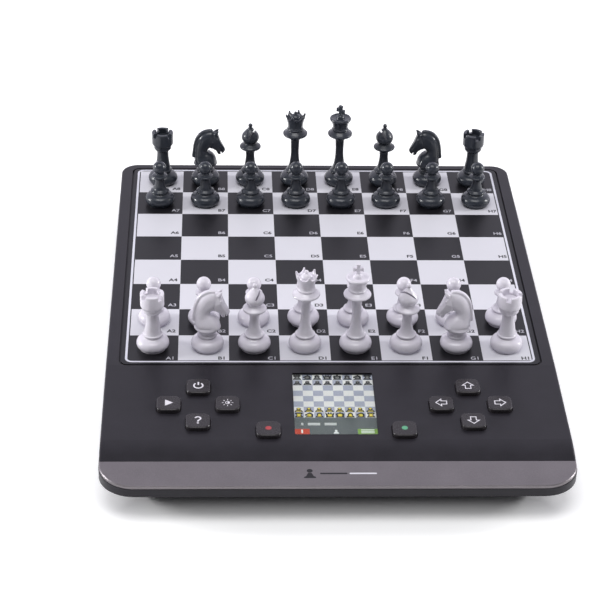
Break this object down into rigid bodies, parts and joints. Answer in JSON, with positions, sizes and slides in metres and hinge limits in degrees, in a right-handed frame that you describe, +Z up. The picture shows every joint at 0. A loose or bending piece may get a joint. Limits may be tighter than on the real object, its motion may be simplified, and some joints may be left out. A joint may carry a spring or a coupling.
{
  "type": "electronic chess computer",
  "caption": "Tablet-shaped electronic chess board with sloping control panel, colour display, push buttons and a full set of turned chess pieces.",
  "frame": {"origin": "middle of the housing plan, on the table under the rubber feet", "axes": "+X to the right of the player at the control panel, +Y away from that player, +Z up"},
  "size_m": [0.2112, 0.292, 0.07],
  "materials": {
    "housing": "satin fine-textured anthracite plastic",
    "strip": "fine metallic grain",
    "base": "fine texture",
    "foot_rubber": "matt",
    "screw_steel": "zinc plated",
    "film": "printed film, satin",
    "membrane": "clear film with printed tracks",
    "window": "clear, glossy",
    "display": "glossy panel in a dark frame",
    "silicone": "matt",
    "circuit_board": "solder mask",
    "speaker": "paper cone in a steel frame",
    "socket": "moulded",
    "cell": "wrapped can",
    "contact": "nickel plated",
    "ribbon": "polyimide",
    "lead": "insulated wire",
    "button": "satin",
    "white_piece": "gloss",
    "black_piece": "gloss"
  },
  "bodies": {
    "housing": {"batteries": "cell", "battery_contacts": "contact", "bottom_cover": "base", "dc_socket": "socket", "display_module": "display", "display_window": "window", "front_strip": "strip", "housing_screws": "screw_steel", "keypad_mat": "silicone", "lead_wires": "lead", "main_board": "circuit_board", "playing_surface": "film", "ribbon_cables": "ribbon", "rubber_feet": "foot_rubber", "sensor_membrane": "membrane", "speaker": "speaker", "top_cover": "housing"},
    "battery_door": {"battery_cover": "base"},
    "power_button": {"power_button": "button"},
    "play_button": {"play_button": "button"},
    "brightness_button": {"brightness_button": "button"},
    "help_button": {"help_button": "button"},
    "red_button": {"red_button": "button"},
    "green_button": {"green_button": "button"},
    "up_button": {"up_button": "button"},
    "left_button": {"left_button": "button"},
    "right_button": {"right_button": "button"},
    "down_button": {"down_button": "button"},
    "white_king": {"white_king": "white_piece"},
    "white_queen": {"white_queen": "white_piece"},
    "white_rook_a": {"white_rook_a": "white_piece"},
    "white_rook_h": {"white_rook_h": "white_piece"},
    "white_knight_b": {"white_knight_b": "white_piece"},
    "white_knight_g": {"white_knight_g": "white_piece"},
    "white_bishop_c": {"white_bishop_c": "white_piece"},
    "white_bishop_f": {"white_bishop_f": "white_piece"},
    "white_pawn_a": {"white_pawn_a": "white_piece"},
    "white_pawn_b": {"white_pawn_b": "white_piece"},
    "white_pawn_c": {"white_pawn_c": "white_piece"},
    "white_pawn_d": {"white_pawn_d": "white_piece"},
    "white_pawn_e": {"white_pawn_e": "white_piece"},
    "white_pawn_f": {"white_pawn_f": "white_piece"},
    "white_pawn_g": {"white_pawn_g": "white_piece"},
    "white_pawn_h": {"white_pawn_h": "white_piece"},
    "black_king": {"black_king": "black_piece"},
    "black_queen": {"black_queen": "black_piece"},
    "black_rook_a": {"black_rook_a": "black_piece"},
    "black_rook_h": {"black_rook_h": "black_piece"},
    "black_knight_b": {"black_knight_b": "black_piece"},
    "black_knight_g": {"black_knight_g": "black_piece"},
    "black_bishop_c": {"black_bishop_c": "black_piece"},
    "black_bishop_f": {"black_bishop_f": "black_piece"},
    "black_pawn_a": {"black_pawn_a": "black_piece"},
    "black_pawn_b": {"black_pawn_b": "black_piece"},
    "black_pawn_c": {"black_pawn_c": "black_piece"},
    "black_pawn_d": {"black_pawn_d": "black_piece"},
    "black_pawn_e": {"black_pawn_e": "black_piece"},
    "black_pawn_f": {"black_pawn_f": "black_piece"},
    "black_pawn_g": {"black_pawn_g": "black_piece"},
    "black_pawn_h": {"black_pawn_h": "black_piece"}
  },
  "joints": [
    {"name": "battery_door_hinge", "type": "hinge", "parent": "housing", "child": "battery_door", "pos_m": [0, 0.0101, 0.0017], "axis": [-1, 0, 0], "range_deg": [0, 75]},
    {"name": "power_button_press", "type": "slide", "parent": "housing", "child": "power_button", "axis": [0, 0.0327, -0.9995], "range_m": [0, 0.001], "stiffness_N_per_m": 400},
    {"name": "play_button_press", "type": "slide", "parent": "housing", "child": "play_button", "axis": [0, 0.0327, -0.9995], "range_m": [0, 0.001], "stiffness_N_per_m": 400},
    {"name": "brightness_button_press", "type": "slide", "parent": "housing", "child": "brightness_button", "axis": [0, 0.0327, -0.9995], "range_m": [0, 0.001], "stiffness_N_per_m": 400},
    {"name": "help_button_press", "type": "slide", "parent": "housing", "child": "help_button", "axis": [0, 0.0327, -0.9995], "range_m": [0, 0.001], "stiffness_N_per_m": 400},
    {"name": "red_button_press", "type": "slide", "parent": "housing", "child": "red_button", "axis": [0, 0.0327, -0.9995], "range_m": [0, 0.001], "stiffness_N_per_m": 400},
    {"name": "green_button_press", "type": "slide", "parent": "housing", "child": "green_button", "axis": [0, 0.0327, -0.9995], "range_m": [0, 0.001], "stiffness_N_per_m": 400},
    {"name": "up_button_press", "type": "slide", "parent": "housing", "child": "up_button", "axis": [0, 0.0327, -0.9995], "range_m": [0, 0.001], "stiffness_N_per_m": 400},
    {"name": "left_button_press", "type": "slide", "parent": "housing", "child": "left_button", "axis": [0, 0.0327, -0.9995], "range_m": [0, 0.001], "stiffness_N_per_m": 400},
    {"name": "right_button_press", "type": "slide", "parent": "housing", "child": "right_button", "axis": [0, 0.0327, -0.9995], "range_m": [0, 0.001], "stiffness_N_per_m": 400},
    {"name": "down_button_press", "type": "slide", "parent": "housing", "child": "down_button", "axis": [0, 0.0327, -0.9995], "range_m": [0, 0.001], "stiffness_N_per_m": 400},
    {"name": "white_king_lift", "type": "slide", "parent": "housing", "child": "white_king", "axis": [0, 0, 1], "range_m": [0, 0.06]},
    {"name": "white_queen_lift", "type": "slide", "parent": "housing", "child": "white_queen", "axis": [0, 0, 1], "range_m": [0, 0.06]},
    {"name": "white_rook_a_lift", "type": "slide", "parent": "housing", "child": "white_rook_a", "axis": [0, 0, 1], "range_m": [0, 0.06]},
    {"name": "white_rook_h_lift", "type": "slide", "parent": "housing", "child": "white_rook_h", "axis": [0, 0, 1], "range_m": [0, 0.06]},
    {"name": "white_knight_b_lift", "type": "slide", "parent": "housing", "child": "white_knight_b", "axis": [0, 0, 1], "range_m": [0, 0.06]},
    {"name": "white_knight_g_lift", "type": "slide", "parent": "housing", "child": "white_knight_g", "axis": [0, 0, 1], "range_m": [0, 0.06]},
    {"name": "white_bishop_c_lift", "type": "slide", "parent": "housing", "child": "white_bishop_c", "axis": [0, 0, 1], "range_m": [0, 0.06]},
    {"name": "white_bishop_f_lift", "type": "slide", "parent": "housing", "child": "white_bishop_f", "axis": [0, 0, 1], "range_m": [0, 0.06]},
    {"name": "white_pawn_a_lift", "type": "slide", "parent": "housing", "child": "white_pawn_a", "axis": [0, 0, 1], "range_m": [0, 0.06]},
    {"name": "white_pawn_b_lift", "type": "slide", "parent": "housing", "child": "white_pawn_b", "axis": [0, 0, 1], "range_m": [0, 0.06]},
    {"name": "white_pawn_c_lift", "type": "slide", "parent": "housing", "child": "white_pawn_c", "axis": [0, 0, 1], "range_m": [0, 0.06]},
    {"name": "white_pawn_d_lift", "type": "slide", "parent": "housing", "child": "white_pawn_d", "axis": [0, 0, 1], "range_m": [0, 0.06]},
    {"name": "white_pawn_e_lift", "type": "slide", "parent": "housing", "child": "white_pawn_e", "axis": [0, 0, 1], "range_m": [0, 0.06]},
    {"name": "white_pawn_f_lift", "type": "slide", "parent": "housing", "child": "white_pawn_f", "axis": [0, 0, 1], "range_m": [0, 0.06]},
    {"name": "white_pawn_g_lift", "type": "slide", "parent": "housing", "child": "white_pawn_g", "axis": [0, 0, 1], "range_m": [0, 0.06]},
    {"name": "white_pawn_h_lift", "type": "slide", "parent": "housing", "child": "white_pawn_h", "axis": [0, 0, 1], "range_m": [0, 0.06]},
    {"name": "black_king_lift", "type": "slide", "parent": "housing", "child": "black_king", "axis": [0, 0, 1], "range_m": [0, 0.06]},
    {"name": "black_queen_lift", "type": "slide", "parent": "housing", "child": "black_queen", "axis": [0, 0, 1], "range_m": [0, 0.06]},
    {"name": "black_rook_a_lift", "type": "slide", "parent": "housing", "child": "black_rook_a", "axis": [0, 0, 1], "range_m": [0, 0.06]},
    {"name": "black_rook_h_lift", "type": "slide", "parent": "housing", "child": "black_rook_h", "axis": [0, 0, 1], "range_m": [0, 0.06]},
    {"name": "black_knight_b_lift", "type": "slide", "parent": "housing", "child": "black_knight_b", "axis": [0, 0, 1], "range_m": [0, 0.06]},
    {"name": "black_knight_g_lift", "type": "slide", "parent": "housing", "child": "black_knight_g", "axis": [0, 0, 1], "range_m": [0, 0.06]},
    {"name": "black_bishop_c_lift", "type": "slide", "parent": "housing", "child": "black_bishop_c", "axis": [0, 0, 1], "range_m": [0, 0.06]},
    {"name": "black_bishop_f_lift", "type": "slide", "parent": "housing", "child": "black_bishop_f", "axis": [0, 0, 1], "range_m": [0, 0.06]},
    {"name": "black_pawn_a_lift", "type": "slide", "parent": "housing", "child": "black_pawn_a", "axis": [0, 0, 1], "range_m": [0, 0.06]},
    {"name": "black_pawn_b_lift", "type": "slide", "parent": "housing", "child": "black_pawn_b", "axis": [0, 0, 1], "range_m": [0, 0.06]},
    {"name": "black_pawn_c_lift", "type": "slide", "parent": "housing", "child": "black_pawn_c", "axis": [0, 0, 1], "range_m": [0, 0.06]},
    {"name": "black_pawn_d_lift", "type": "slide", "parent": "housing", "child": "black_pawn_d", "axis": [0, 0, 1], "range_m": [0, 0.06]},
    {"name": "black_pawn_e_lift", "type": "slide", "parent": "housing", "child": "black_pawn_e", "axis": [0, 0, 1], "range_m": [0, 0.06]},
    {"name": "black_pawn_f_lift", "type": "slide", "parent": "housing", "child": "black_pawn_f", "axis": [0, 0, 1], "range_m": [0, 0.06]},
    {"name": "black_pawn_g_lift", "type": "slide", "parent": "housing", "child": "black_pawn_g", "axis": [0, 0, 1], "range_m": [0, 0.06]},
    {"name": "black_pawn_h_lift", "type": "slide", "parent": "housing", "child": "black_pawn_h", "axis": [0, 0, 1], "range_m": [0, 0.06]}
  ]
}
